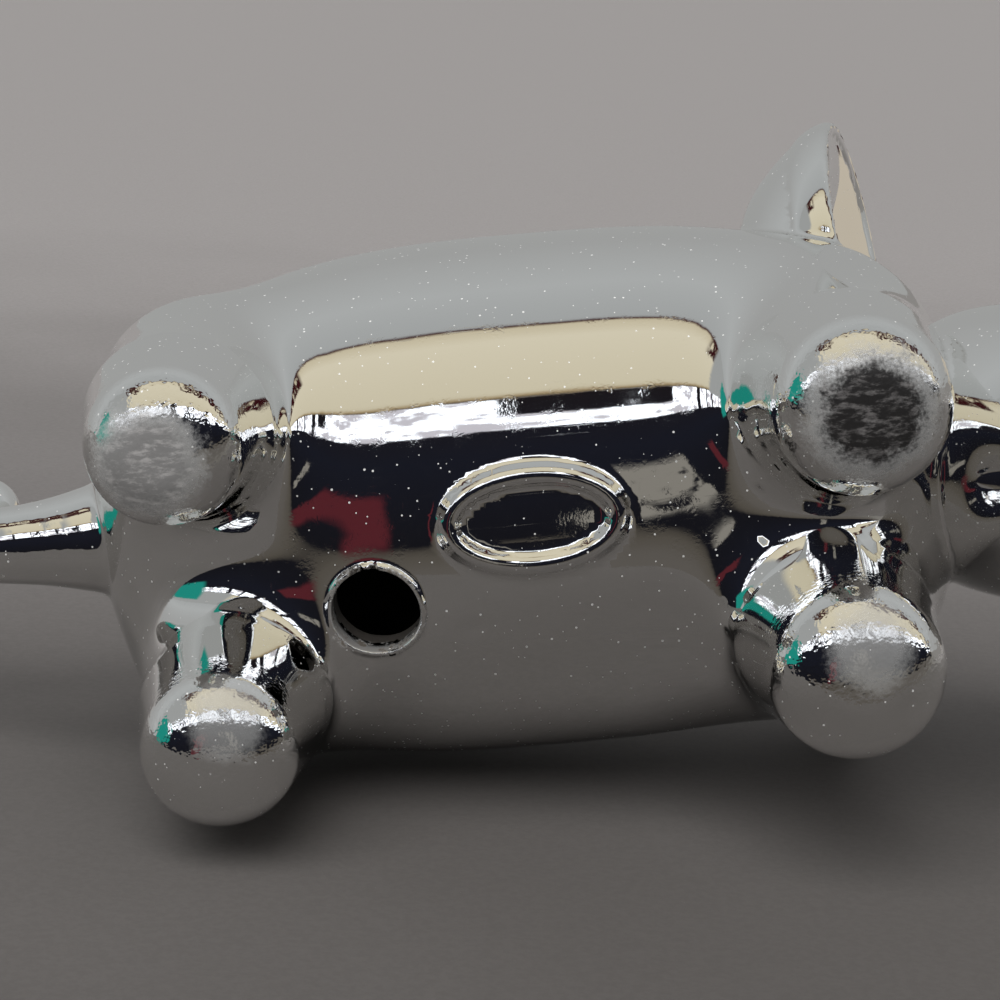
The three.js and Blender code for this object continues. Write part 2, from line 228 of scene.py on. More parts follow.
def earField(points, sign):
    return evened(lambda p: earLevel(p, sign), points)


def smoothRoute(route, steps):  # centripetal Catmull-Rom points along a route, evenly spaced
    knots = np.array(route, float)
    knots = np.vstack([2 * knots[0] - knots[1], knots, 2 * knots[-1] - knots[-2]])
    made = []
    for i in range(1, len(knots) - 2):
        p = knots[i - 1:i + 3]
        t = np.concatenate([[0], np.cumsum(np.linalg.norm(np.diff(p, axis=0), axis=1) ** 0.5)])
        for s in np.linspace(t[1], t[2], 24, endpoint=False):
            a = [((t[j + 1] - s) * p[j] + (s - t[j]) * p[j + 1]) / (t[j + 1] - t[j]) for j in range(3)]
            b = [((t[j + 2] - s) * a[j] + (s - t[j]) * a[j + 1]) / (t[j + 2] - t[j]) for j in range(2)]
            made.append(((t[2] - s) * b[0] + (s - t[1]) * b[1]) / (t[2] - t[1]))
    made = np.array(made + [knots[-2]])
    gone = np.concatenate([[0], np.cumsum(np.linalg.norm(np.diff(made, axis=0), axis=1))])
    even = np.linspace(0, gone[-1], steps)
    return np.stack([np.interp(even, gone, made[:, i]) for i in range(3)], axis=1)


def tubeField(points, centres, radii):
    best = np.full(len(points), 1e3)
    for a, b, ra, rb in zip(centres[:-1], centres[1:], radii[:-1], radii[1:]):
        along = b - a
        share = np.clip((points - a) @ along / (along @ along), 0, 1)
        gap = np.linalg.norm(points - a - share[:, None] * along, axis=1) - (ra + (rb - ra) * share)
        best = np.minimum(best, gap)
    return best


trunk = dict(  # the route runs ahead of and above the skull's middle, and its last steps are cut off
    root=7.6, neck=4.3, mouth=4.9, flare=1.6, blend=2.5, steps=90, cut=2,
    nostril=2.6, nostrilDepth=2.4, nostrilTaper=0.7, nostrilEdge=1.6,
    route=[(5, -1), (15.5, -6), (24, -8), (31, -3.5), (33.6, 5.5), (31.4, 15.5), (28.4, 24), (30.2, 31)])


def trunkTube():
    share = np.linspace(0, 1, trunk["steps"])
    slim = trunk["root"] + (trunk["neck"] - trunk["root"]) * smoothStep(share, 0.1, 0.75)
    mouth = slim + (trunk["mouth"] - slim) * smoothStep(share, 0.86, 1)
    radii = mouth + trunk["flare"] * np.exp(-((share / 0.2) ** 2))
    route = [skullMiddle + (ahead, 0, up) for ahead, up in trunk["route"]]
    return smoothRoute(route, trunk["steps"])[:-trunk["cut"]], radii[:-trunk["cut"]]


trunkLine, trunkRadii = trunkTube()


def trunkField(points):
    tube = tubeField(points, trunkLine, trunkRadii)
    end, onward = trunkLine[-1], trunkLine[-1] - trunkLine[-2]
    onward = onward / np.linalg.norm(onward)
    nostril = np.array([end + onward * trunk["mouth"], end + onward * trunk["nostrilDepth"]])
    radii = np.array([trunk["nostril"], trunk["nostril"] * trunk["nostrilTaper"]])
    return carve(tube, tubeField(points, nostril, radii), trunk["nostrilEdge"])


tail = dict(  # the route runs behind the rump, to the left, and above the barrel's axis
    root=4.4, tube=3.6, tip=3.9, flare=1.7, blend=1.2, steps=80,
    route=[(-6, 0.2, -4), (2.4, 0.2, -4.6), (11, 0.2, -3.6), (17.6, 0.3, 1.8), (18.4, 0.5, 9),
           (14.2, 0.6, 13.8)])


def tailTube():
    share = np.linspace(0, 1, tail["steps"])
    root = (tail["root"] - tail["tube"]) * (1 - smoothStep(share, 0.1, 0.45))
    tip = (tail["tip"] - tail["tube"]) * smoothStep(share, 0.8, 0.97)
    radii = tail["tube"] + root + tip + tail["flare"] * np.exp(-((share / 0.17) ** 2))
    rump, axis = -barrel["halfLength"], barrel["axisHeight"]
    route = [(rump - behind, left, axis + up) for behind, left, up in tail["route"]]
    return smoothRoute(route, tail["steps"]), radii


tailLine, tailRadii = tailTube()

cartouche = dict(forward=0.4, side=-2.2, length=17.0, width=10.0, bead=1.8, blend=1.1)


def cartoucheField(points, belly):
    c = cartouche
    half = np.array((c["length"], c["width"])) / 2 - c["bead"] / 2
    flat = (points[:, :2] - (c["forward"], c["side"])) / half
    size = np.maximum(np.linalg.norm(flat, axis=1), 1e-4)
    slope = np.linalg.norm(flat / half / size[:, None], axis=1)
    return np.hypot((size - 1) / slope, belly) - c["bead"] / 2


# past the raw depth inside the barrel, faces take the clay material that is painted near-black as shade
drain = dict(forward=-14.4, side=5.2, bore=4.0, lip=0.4, soften=0.5, ripple=0.02, rawShade=1.6, fineReach=6.4)
drainSpot, drainNormal = bellyPoint(drain["forward"], drain["side"])


def drainFields(points, belly):  # the rolled lip that follows the belly, and the bore
    away = points - drainSpot
    along = away @ drainNormal
    out = np.linalg.norm(away - along[:, None] * drainNormal, axis=1)
    turn = np.arctan2(away[:, 1], away[:, 0])
    ripple = drain["ripple"] * (np.sin(3 * turn + 0.7) + 0.6 * np.sin(7 * turn) + 0.5 * np.sin(11 * turn + 2))
    lip = np.hypot(out - drain["bore"] - drain["lip"] / 2 - ripple, belly - ripple) - drain["lip"]
    return lip, np.maximum(out - drain["bore"] - 0.5 * ripple, np.abs(along) - 2 * barrel["wall"])


dimple = dict(forward=-5.8, side=7.5, depth=0.12, long=1.2, wide=0.8, below=18.0)


def dimpleDepth(points):  # a shallow hollow in the belly
    away = (points[:, :2] - (dimple["forward"], dimple["side"])) / (dimple["long"], dimple["wide"])
    return dimple["depth"] * np.exp(-np.sum(away ** 2, axis=1)) * (points[:, 2] < dimple["below"])


def near(points, low, high, shape, pad=7.0):  # a shape that is worked out only round its own box
    inside = np.all((points > np.array(low) - pad) & (points < np.array(high) + pad), axis=1)
    made = np.full(len(points), farAway)
    if inside.any():
        made[inside] = shape(points[inside])
    return made


def tubeBox(line, radii):
    return line.min(axis=0) - radii.max(), line.max(axis=0) + radii.max()


def castings(points):  # every casting's own distance, by the name of its node
    made = {"body_shell": barrelField(points)}
    for name, leg in legs.items():
        reach = leg["foot"]
        low = (leg["forward"] - reach, leg["side"] - reach, 0)
        high = (leg["forward"] + reach, leg["side"] + reach, legBuild["top"] + reach)
        made[name] = near(points, low, high, lambda p, leg=leg: legField(p, leg),
                          pad=legBuild["filletReach"])
    made["head"] = near(points, skullMiddle - skull["reach"], skullMiddle + skull["reach"], skullField)
    for sign in (-1, 1):
        ball = np.linalg.norm(points - eyeSpot(sign), axis=1) - eye["radius"]
        made["head"] = merge(made["head"], ball, eye["blend"])
    made["trunk"] = near(points, *tubeBox(trunkLine, trunkRadii), trunkField)
    made["tail"] = near(points, *tubeBox(tailLine, tailRadii), lambda p: tubeField(p, tailLine, tailRadii))
    for name, sign in (("ear_left", 1), ("ear_right", -1)):
        middle, reach = earAxes(sign)[1], ear["boxReach"]
        made[name] = near(points, middle - reach, middle + reach, lambda p, sign=sign: earField(p, sign))
    bead = cartoucheField(points, made["body_shell"])
    made["belly_cartouche"] = np.where(points[:, 2] < barrel["axisHeight"], bead, farAway)
    return made


def skinField(points):  # the whole plated skin, castings flowing into each other
    made = castings(points)
    head = merge(made["head"], made["trunk"], trunk["blend"])
    for name in ("ear_left", "ear_right"):
        head = merge(head, made[name], ear["blend"])
    whole = made["body_shell"]
    for name in legs:
        whole = merge(whole, made[name], legs[name]["blend"])
    whole = merge(whole, made["tail"], tail["blend"])
    whole = merge(whole, made["belly_cartouche"], cartouche["blend"])
    whole = merge(whole, head, skull["neckBlend"])
    lip, bore = drainFields(points, made["body_shell"])
    whole = merge(whole, lip, drain["soften"]) + dimpleDepth(points)
    whole = carve(whole, barrelField(points, -barrel["wall"]), barrel["cavityEdge"])
    return carve(whole, bore, drain["soften"])


# The skin's mesh: a fine step, how many make a coarse one, the room round the box, how far from the skin the
# steps are fine, and how often its points are settled and relaxed
mesher = dict(fine=0.62, ratio=3, margin=2, band=1.9, limit=5.0, settle=1, relax=3,
              slopeStep=0.03, mostMove=0.6)


def skinMesh():  # points, outward directions and quads of the skin, settled onto its exact surface
    low = np.array(cadLow) / mm - (barrelMiddle, 0, 0) - mesher["margin"]
    high = np.array(cadHigh) / mm - (barrelMiddle, 0, 0) + mesher["margin"]
    step, ratio = mesher["fine"], mesher["ratio"]
    counts = (np.ceil((high - low) / (step * ratio)) + 1).astype(int)
    axes = [low[i] + np.arange(counts[i]) * step * ratio for i in range(3)]
    coarse = np.stack(np.meshgrid(*axes, indexing="ij"), axis=-1).reshape(-1, 3)
    rough = skinField(coarse).reshape(counts)
    for i in range(3):  # the coarse grid stretched to the fine one
        fine = np.arange((rough.shape[i] - 1) * ratio + 1) / ratio
        first = np.minimum(fine.astype(int), rough.shape[i] - 2)
        share = (fine - first).reshape([-1 if j == i else 1 for j in range(3)])
        rough = np.take(rough, first, axis=i) * (1 - share) + np.take(rough, first + 1, axis=i) * share
    spots = np.argwhere(np.abs(rough) < mesher["band"])
    rough[tuple(spots.T)] = skinField(low + spots * step)
    grid = openvdb.FloatGrid(mesher["limit"])
    grid.copyFromArray(np.clip(rough, -mesher["limit"], mesher["limit"]).astype(np.float32))
    points, _, quads = grid.convertToPolygons(isovalue=0.0, adaptivity=0.0)
    points = low + points.astype(float) * step
    for _ in range(mesher["settle"]):
        points = settled(points)
    for _ in range(mesher["relax"]):
        points = settled(relaxed(points, quads))
    slope = skinSlope(points)[1]
    return points, slope / np.maximum(np.linalg.norm(slope, axis=1), 1e-6)[:, None], quads


def skinSlope(points):
    value, step = skinField(points), mesher["slopeStep"]
    slope = [(skinField(points + np.eye(3)[i] * step) - value) / step for i in range(3)]
    return value, np.stack(slope, axis=1)


def settled(points):  # one step of each point onto the surface
    value, slope = skinSlope(points)
    size = np.maximum(np.sum(slope ** 2, axis=1), 0.05)
    return points - slope * (np.clip(value, -mesher["mostMove"], mesher["mostMove"]) / size)[:, None]


def relaxed(points, quads):  # each point drawn halfway to the middle of its neighbours
    here = np.concatenate([quads[:, i] for i in (0, 1, 2, 3, 1, 2, 3, 0)])
    there = np.concatenate([quads[:, i] for i in (1, 2, 3, 0, 0, 1, 2, 3)])
    count = np.maximum(np.bincount(here, minlength=len(points)), 1)
    total = [np.bincount(here, points[there, i], minlength=len(points)) for i in range(3)]
    return points + 0.5 * (np.stack(total, axis=1) / count[:, None] - points)


def faceEdges(quads):  # each edge once: its two points, and the face on each side of it
    start = quads.ravel()
    end = np.roll(quads, -1, axis=1).ravel()
    face = np.repeat(np.arange(len(quads)), 4)
    order = np.lexsort((np.maximum(start, end), np.minimum(start, end)))
    start, end, face = start[order], end[order], face[order]
    first = np.where((start[:-1] == end[1:]) & (end[:-1] == start[1:]))[0]
    return np.stack([start[first], end[first], face[first], face[first + 1]], axis=1)


# The split into castings: what stays with the barrel inside it and round the bore, how many faces make a
# loose patch, and how deep the rims turn inward
split = dict(insideBarrel=1.2, roundBore=2.5, smallPatch=80, rimDepth=0.3, barrelRimDepth=0.6)


def castingOf(middles, names):  # which casting each place on the skin belongs to
    made = castings(middles)
    owner = np.argmin(np.stack([made[name] for name in names]), axis=0)
    away = middles - drainSpot
    fromBore = np.linalg.norm(away - (away @ drainNormal)[:, None] * drainNormal, axis=1)
    barrelNumber = names.index("body_shell")
    owner[made["body_shell"] < -split["insideBarrel"]] = barrelNumber
    owner[fromBore < drain["bore"] + split["roundBore"]] = barrelNumber
    return owner


def tidied(owner, quads, edges, names):  # borders without loose faces, so that each piece has clean rims
    for _ in range(12):
        label = np.arange(len(quads))
        same = edges[owner[edges[:, 2]] == owner[edges[:, 3]]][:, 2:]
        for _ in range(400):  # faces of one patch take one label
            low = np.minimum(label[same[:, 0]], label[same[:, 1]])
            fresh = label.copy()
            np.minimum.at(fresh, same[:, 0], low)
            np.minimum.at(fresh, same[:, 1], low)
            fresh = fresh[fresh]
            if (fresh == label).all():
                break
            label = fresh
        small = np.bincount(label, minlength=len(quads))[label] < split["smallPatch"]
        border = edges[owner[edges[:, 2]] != owner[edges[:, 3]]]
        touch = np.bincount(border[:, :2].ravel(), minlength=quads.max() + 1)
        kinds = np.unique(quads.ravel() * len(names) + np.repeat(owner, 4)) // len(names)
        kinds = np.bincount(kinds, minlength=len(touch))
        bad = (touch > np.maximum(kinds, 2)) | ((kinds == 2) & (touch > 2))
        if not (small.any() or bad.any()):
            return owner
        for face in np.where(small)[0]:  # a loose patch joins what lies round it
            row = border[(border[:, 2] == face) | (border[:, 3] == face)]
            if len(row):
                owner[face] = owner[row[0, 2] if row[0, 3] == face else row[0, 3]]
        for point in np.where(bad)[0]:
            faces = np.where((quads == point).any(axis=1))[0]
            owner[faces] = np.bincount(owner[faces]).argmax()
    return owner


def rims(piece, owner, edges):  # the closed border loops of one piece, each as points in order
    onward = {}
    for start, end, left, right in edges:
        if owner[left] == piece and owner[right] != piece:
            onward[start] = end
        elif owner[right] == piece and owner[left] != piece:
            onward[end] = start
    loops = []
    while onward:
        point = next(iter(onward))
        loop = []
        while point in onward:
            loop.append(point)
            point = onward.pop(point)
        loops.append(loop)
    return loops


def seated(points, field, level, step=0.05):  # points moved onto a level of a casting's distance
    for _ in range(3):
        value = field(points)
        slope = np.stack([(field(points + np.eye(3)[i] * step) - value) / step for i in range(3)], axis=1)
        size = np.maximum(np.sum(slope ** 2, axis=1), 0.2)
        points = points - slope * ((value - level) / size)[:, None]
    return points


def capped(points, normals, faces, loops, depth, bridge, field):  # every rim turned inward and closed
    points, normals = list(points), list(normals)
    inner = []
    for loop in loops:
        ring = []
        for point in loop:
            ring.append(len(points))
            points.append(points[point] - normals[point] * depth)
            normals.append(normals[point])
        for i in range(len(loop)):
            j = (i + 1) % len(loop)
            faces.append((loop[j], loop[i], ring[i], ring[j]))
        inner.append(ring)
    if bridge:
        long, short = sorted([inner[i] for i in bridge], key=len, reverse=True)
        faces += bridged(np.array(points), long, short)
        inner = [ring for ring in inner if ring is not long and ring is not short]
    for ring in inner:
        outline = np.array([points[i] for i in ring])
        middle = seated(outline.mean(axis=0)[None], field, -depth)[0]
        last = ring
        for share in (0.35, 0.7):
            spots = seated(outline + (middle - outline) * share, field, -depth)
            step = list(range(len(points), len(points) + len(ring)))
            points += list(spots)
            normals += [normals[i] for i in ring]
            for i in range(len(ring)):
                j = (i + 1) % len(ring)
                faces.append((last[j], last[i], step[i], step[j]))
            last = step
        points.append(middle)
        normals.append(normals[ring[0]])
        for i in range(len(ring)):
            faces.append((last[(i + 1) % len(ring)], last[i], len(points) - 1))
    return np.array(points), np.array(normals), faces


def bridged(points, long, short):  # triangles between two rims that run opposite ways round
    short = short[::-1]
    start = int(np.argmin(np.linalg.norm(points[short] - points[long[0]], axis=1)))
    short = short[start:] + short[:start]
    made = []
    i = j = 0
    while i < len(long) or j < len(short):
        a, b = long[i % len(long)], short[j % len(short)]
        nextA, nextB = long[(i + 1) % len(long)], short[(j + 1) % len(short)]
        stepA = np.linalg.norm(points[nextA] - points[b]) if i < len(long) else 1e9
        stepB = np.linalg.norm(points[nextB] - points[a]) if j < len(short) else 1e9
        if stepA <= stepB:
            made.append((nextA, a, b))
            i += 1
        else:
            made.append((a, b, nextB))
            j += 1
    return made


def addPieces():
    points, normals, quads = skinMesh()
    print("skin:", len(points), "points", len(quads), "faces")
    names = list(castings(points[:1]))
    edges = faceEdges(quads)
    middles = points[quads].mean(axis=1)
    owner = tidied(castingOf(middles, names), quads, edges, names)
    # faces deep inside the barrel take the raw clay, painted near-black as shade
    deep = barrelField(middles) < -drain["rawShade"]
    for number, name in enumerate(names):
        own = np.where(owner == number)[0]
        used, place = np.unique(quads[own].ravel(), return_inverse=True)
        spot = dict(zip(used.tolist(), range(len(used))))
        loops = [[spot[point] for point in loop] for loop in rims(number, owner, edges)]
        faces = [tuple(face) for face in place.reshape(-1, 4).tolist()]
        bridge = ringLoops(points[used], loops) if name in ("body_shell", "belly_cartouche") else []
        depth = split["barrelRimDepth"] if name == "body_shell" else split["rimDepth"]
        shape = capped(points[used], normals[used], faces, loops, depth, bridge, seatField(name))
        rawShade = np.zeros(len(shape[2]), int)
        rawShade[:len(own)] = deep[own]
        shape += (rawShade,)
        if name == "body_shell":
            for reach in (drain["fineReach"], drain["fineReach"] - 1):
                shape = refined(*shape, reach)
        addPiece(name, *shape)
        print("piece:", name, len(shape[0]), "points", len(loops), "rims")


def refined(points, normals, faces, rawShade, reach):  # faces round the drain hole cut in four and settled again
    points, normals = list(points), list(normals)
    close = np.linalg.norm(np.array(points) - drainSpot, axis=1) < reach
    halfway = {}
    cut = [len(face) == 4 and close[list(face)].all() for face in faces]
    for face in np.array([face for face, isCut in zip(faces, cut) if isCut]).tolist():
        for a, b in zip(face, face[1:] + face[:1]):
            if (a, b) not in halfway:
                halfway[a, b] = halfway[b, a] = len(points)
                points.append((points[a] + points[b]) / 2)
                normals.append(normals[a])
    made, kinds = [], []
    for face, isCut, kind in zip(faces, cut, rawShade):
        ring = []
        for a, b in zip(face, face[1:] + face[:1]):
            ring += [a, halfway[a, b]] if (a, b) in halfway else [a]
        if isCut:
            made += [(ring[i], ring[i + 1], len(points), ring[i - 1]) for i in (0, 2, 4, 6)]
            kinds += [kind] * 4
            points.append(np.mean([points[i] for i in face], axis=0))
            normals.append(normals[face[0]])
        else:
            made.append(tuple(ring))
            kinds.append(kind)
    points, normals = np.array(points), np.array(normals)
    corners = [i for face, isCut in zip(faces, cut) if isCut for i in face]
    fresh = np.unique(corners + list(range(len(close), len(points))))
    points[fresh] = settled(settled(points[fresh]))
    slope = skinSlope(points[fresh])[1]
    normals[fresh] = slope / np.linalg.norm(slope, axis=1)[:, None]
    return points, normals, made, np.array(kinds)


def ringLoops(points, loops):  # the two rims that run along the cartouche's bead
    spot = np.array((cartouche["forward"], cartouche["side"]))
    reach = cartouche["length"] / 2 + 2
    made = []
    for i, loop in enumerate(loops):
        away = np.linalg.norm(points[loop][:, :2] - spot, axis=1)
        if away.max() < reach and points[loop][:, 2].max() < barrel["axisHeight"]:
            made.append(i)
    return made


def seatField(name):  # the casting that a piece sits on, or its own where it carries the others
    if name == "trunk":
        return skullField
    if name in ("ear_left", "ear_right"):
        return lambda p: np.minimum(skullField(p), barrelField(p))
    return barrelField


def addPiece(name, points, normals, faces, rawShade):
    mesh = bpy.data.meshes.new(name + "_plated")
    mesh.from_pydata(((points + (barrelMiddle, 0, 0)) * mm).tolist(), [], faces)
    mesh.shade_smooth()
    mesh.normals_split_custom_set_from_vertices(normals.tolist())
    piece = bpy.data.objects.new(name + "_plated", mesh)
    bpy.context.scene.collection.objects.link(piece)
    mesh.materials.append(wornPlating if name in legs else plating)
    # the inside of the hollow takes the clay material that is painted near-black as shade
    if rawShade.any():
        mesh.materials.append(shadedRawClay)
        mesh.polygons.foreach_set("material_index", rawShade)
    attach(piece, "root")
    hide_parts(name)
    "worn_plating" if name in legs else "mirror_plating"


class Wire:  # one shader value; sums on it add Math nodes
    def __init__(self, graph, socket):
        self.graph, self.socket = graph, socket

    def sibling(self, name):  # another output of the same node
        return Wire(self.graph, self.socket.node.outputs[name])

    def maths(self, operation, *others):
        values = dict(enumerate((self,) + others))
        return self.graph.node("ShaderNodeMath", {"operation": operation}, values)

    def __add__(self, other):
        return self.maths("ADD", other)

    def __sub__(self, other):
        return self.maths("SUBTRACT", other)

    def __rsub__(self, other):
        return (self * -1).maths("ADD", other)

    def __mul__(self, other):
        return self.maths("MULTIPLY", other)

    def __truediv__(self, other):
        return self.maths("DIVIDE", other)

    def __gt__(self, other):
        return self.maths("GREATER_THAN", other)

    __radd__, __rmul__ = __add__, __mul__

    def between(self, low, high):  # a soft step from 0 at the first value to 1 at the second
        if low > high:
            return 1 - self.between(high, low)
        values = {"Value": self, "From Min": low, "From Max": high}
        return self.graph.node("ShaderNodeMapRange", {"interpolation_type": "SMOOTHSTEP"}, values)

    def band(self, low, high, soft):
        return self.between(low - soft, low + soft) * self.between(high + soft, high - soft)


class Graph:
    def __init__(self, tree):
        self.tree = tree
        tree.nodes.clear()

    def node(self, kind, settings=None, values=None, output=0):
        made = self.tree.nodes.new(kind)
        for name, value in (settings or {}).items():
            if name == "stops":
                ramp = made.color_ramp
                ramp.elements.remove(ramp.elements[1])
                ramp.elements[0].position, ramp.elements[0].color = value[0][0], (*value[0][1], 1)
                for place, colour in value[1:]:
                    ramp.elements.new(place).color = (*colour, 1)
            else:
                setattr(made, name, value)
        for name, value in (values or {}).items():
            if isinstance(value, Wire):
                self.tree.links.new(value.socket, made.inputs[name])
            else:
                made.inputs[name].default_value = value
        return Wire(self, made.outputs[output]) if made.outputs else made

    def noise(self, spot, scale, detail=2.0, rough=0.5):
        values = {"Vector": spot, "Scale": scale, "Detail": detail, "Roughness": rough}
        return self.node("ShaderNodeTexNoise", None, values)

    def mix(self, share, first, second):  # colours by a share; sockets 6 and 7 are the Mix node's two colours
        values = {"Factor": share, 6: colour4(first), 7: colour4(second)}
        return self.node("ShaderNodeMix", {"data_type": "RGBA"}, values, 2)

    def scaled(self, spot, scale):
        return self.node("ShaderNodeVectorMath", {"operation": "MULTIPLY"}, {0: spot, 1: scale})

    def ownPlace(self):  # the object's own coordinates, in mm
        return self.scaled(self.node("ShaderNodeTexCoord", output="Object"), (1 / mm, 1 / mm, 1 / mm))

    def axes(self, spot):
        first = self.node("ShaderNodeSeparateXYZ", None, {0: spot})
        return [first.sibling(name) for name in "XYZ"]

    def distance(self, axes, spot):
        squares = [(axis - place).maths("POWER", 2.0) for axis, place in zip(axes, spot)]
        return sum(squares[1:], squares[0]).maths("SQRT")

    def most(self, wires):
        top = wires[0]
        for wire in wires[1:]:
            top = top.maths("MAXIMUM", wire)
        return top

    def shader(self, colour, rough, peel=None, metal=0.0):  # peel is a height in mm
        values = {"Base Color": colour4(colour), "Roughness": rough, "Metallic": metal}
        if peel is not None:
            bump = {"Height": peel, "Distance": mm, "Strength": 1.0}
            values["Normal"] = self.node("ShaderNodeBump", None, bump)
        return self.node("ShaderNodeBsdfPrincipled", None, values)

    def surface(self, shader):
        self.node("ShaderNodeOutputMaterial", None, {"Surface": shader})


def colour4(colour):
    return colour if isinstance(colour, Wire) else (*colour, 1)


def material(name):
    made = bpy.data.materials.new(name)
    made.use_nodes = True
    return made, Graph(made.node_tree)


# The finish: bright plating with a soft wave, peel and smears, and what lies on it or is rubbed through
plate = dict(silver=(0.86, 0.86, 0.845), rough=0.028, smear=0.05, wave=0.006, peel=0.0005, patchPeel=0.006)
mottle = dict(  # scale, detail and roughness of the noises that the finish shares
    fine=(3.1, 3.0, 0.6), clouds=(0.16, 3.0, 0.55), patches=(0.55, 4.0, 0.65))
specks = dict(colour=(0.74, 0.74, 0.72), spread=1.3, size=0.12, least=0.02, rough=0.3, dulling=0.75)
hairlines = dict(along=(0.1, 4.5, 4.5), across=(3.0, 0.35, 3.0), rough=0.12)
grime = dict(colour=(0.16, 0.14, 0.12), inside=1.0, outside=0.6, edge=0.25, rim=(0.25, -0.05), rimShare=0.8,
             dulling=0.72)
sole = dict(core=(0.016, 0.015, 0.015), scuff=(0.3, 0.285, 0.28), inner=3.4, outer=6.6, rubbedTop=(4.6, 3.0),
            rough=0.42, dulling=0.9, swirl=(0.6, 1.5, 0.9),
            peel=0.03, peelSize=2.3, peelReach=(9.6, 8.2), peelTop=(8.5, 5.5))
# the raw clay inside the hollow: real grain, on a near-black colour that is painted shade
hollow = dict(colour=(0.028, 0.025, 0.022), lighter=1.9, grain=0.03, rough=0.95)


def dustSpecks(g, spot, clouds):
    cell = g.node("ShaderNodeTexVoronoi", None, {"Vector": spot, "Scale": specks["spread"]})
    pick = g.node("ShaderNodeSeparateColor", None, {0: cell.sibling("Color")})
    return cell.maths("LESS_THAN", specks["size"] * pick + specks["least"]) * clouds.between(0.3, 0.5)


def hairlineScratches(g, spot, clouds):
    along = g.noise(g.scaled(spot, hairlines["along"]), 1.0, 1.0).between(0.705, 0.73)
    across = g.noise(g.scaled(spot, hairlines["across"]), 1.0, 1.0).between(0.725, 0.745)
    return (along + across).maths("MINIMUM", 1.0) * clouds.between(0.45, 0.6)


def drainGrime(g, axes, mottled):  # patches round the drain hole's lip, and an even dark rim inside it
    fromHole = g.distance(axes, [float(v) for v in drainSpot])
    bore, (outer, inner) = drain["bore"], grime["rim"]
    ring = fromHole.band(bore - grime["inside"], bore + grime["outside"], grime["edge"])
    rim = grime["rimShare"] * fromHole.between(bore + outer, bore + inner)
    return g.most([ring * mottled.between(0.68, 0.8), rim])


def soleWear(g, axes, patches, fine):  # the rubbed core of each sole, and the uneven plating round it
    x, y, z = axes
    cores, halos = [], []
    for leg in legs.values():
        forward, side = leg["forward"], leg["side"]
        ahead, beside, spread = leg["rub"]
        ragged = g.distance((x, y), (forward + ahead, side + beside)) / spread
        ragged = ragged + 3.2 * (patches - 0.5) + 2.4 * (fine - 0.5)
        core = ragged.between(sole["outer"], sole["inner"]) * z.between(*sole["rubbedTop"])
        cores.append(core * leg["wear"])
        halo = g.distance((x, y), (forward, side)).between(*sole["peelReach"])
        halos.append(halo * z.between(*sole["peelTop"]))
    return g.most(cores), g.most(halos)


def platingMaterial(name, worn):
    made, g = material(name)
    spot = g.ownPlace()
    x, y, z = g.axes(spot)
    x = x - barrelMiddle
    fine, clouds, patches = [g.noise(spot, *mottle[name]) for name in ("fine", "clouds", "patches")]
    dust = dustSpecks(g, spot, clouds)
    scratches = hairlineScratches(g, spot, clouds)
    dirt = drainGrime(g, (x, y, z), patches + 0.35 * fine)
    peel = plate["peel"] * (fine - 0.5) + plate["wave"] * (g.noise(spot, 0.19, 1.0) - 0.5)
    peel = peel + plate["patchPeel"] * (g.noise(spot, 3.4, 2.0) - 0.5) * patches.between(0.5, 0.62)
    rough = plate["rough"] + plate["smear"] * patches.between(0.45, 0.8)
    rough = rough + hairlines["rough"] * scratches + specks["rough"] * dust
    colour = g.mix(dust, g.mix(dirt, plate["silver"], grime["colour"]), specks["colour"])
    metal = 1 - specks["dulling"] * dust - grime["dulling"] * dirt
    if worn:
        core, halo = soleWear(g, (x, y, z), patches, fine)
        swirl = g.noise(g.scaled(spot, sole["swirl"]), 1.0, 5.0, 0.7).between(0.46, 0.68)
        pale = x.between(5.0, -5.0) * y.between(5.0, -5.0)  # the hind right sole is scuffed paler
        scuffed = g.mix(swirl * (0.4 + 0.5 * pale) + 0.25 * pale, sole["core"], sole["scuff"])
        colour = g.mix(core, colour, scuffed)
        rough = rough + sole["rough"] * core
        metal = metal * (1 - sole["dulling"] * core)
        peel = peel + sole["peel"] * halo * (g.noise(spot, sole["peelSize"], 1.0) - 0.5)
    g.surface(g.shader(colour, rough, peel, metal))
    return made


def hollowMaterial():
    made, g = material("shadedRawClay")
    # painted shade: the inside of the hollow is coloured near-black, with lighter grain
    grain = g.noise(g.ownPlace(), 2.2, 4.0, 0.6)
    lighter = tuple(hollow["lighter"] * c for c in hollow["colour"])
    colour = g.mix(grain, hollow["colour"], lighter)
    g.surface(g.shader(colour, hollow["rough"], grain * hollow["grain"]))
    return made


plating = platingMaterial("mirrorPlating", False)
wornPlating = platingMaterial("wornPlating", True)
shadedRawClay = hollowMaterial()
addPieces()

# Camera: below the belly, tipped towards the right flank
shot = dict(target=(-2.4, 1.3, 40.0), distance=255.0, view=math.radians(22),
            tilt=math.radians(12), roll=math.radians(5))


def addCamera():
    data = bpy.data.cameras.new("camera")
    data.sensor_width = 36
    data.lens = data.sensor_width / 2 / math.tan(shot["view"] / 2)
    data.clip_start = 0.01
    data.clip_end = 200
    camera = bpy.data.objects.new("camera", data)
    bpy.context.scene.collection.objects.link(camera)
    away = Vector((0, -math.sin(shot["tilt"]), -math.cos(shot["tilt"])))
    right = Vector((1, 0, 0))
    up = Vector((0, -math.cos(shot["tilt"]), math.sin(shot["tilt"])))
    cosRoll, sinRoll = math.cos(shot["roll"]), math.sin(shot["roll"])
    turned = right * cosRoll - up * sinRoll
    raised = up * cosRoll + right * sinRoll
    x, y, z = shot["target"]
    spot = Vector((x + barrelMiddle, y, z)) * mm + away * shot["distance"] * mm
    turn = Matrix((turned, raised, away)).transposed().to_4x4()
    camera.matrix_world = Matrix.Translation(spot) @ turn
    bpy.context.scene.camera = camera
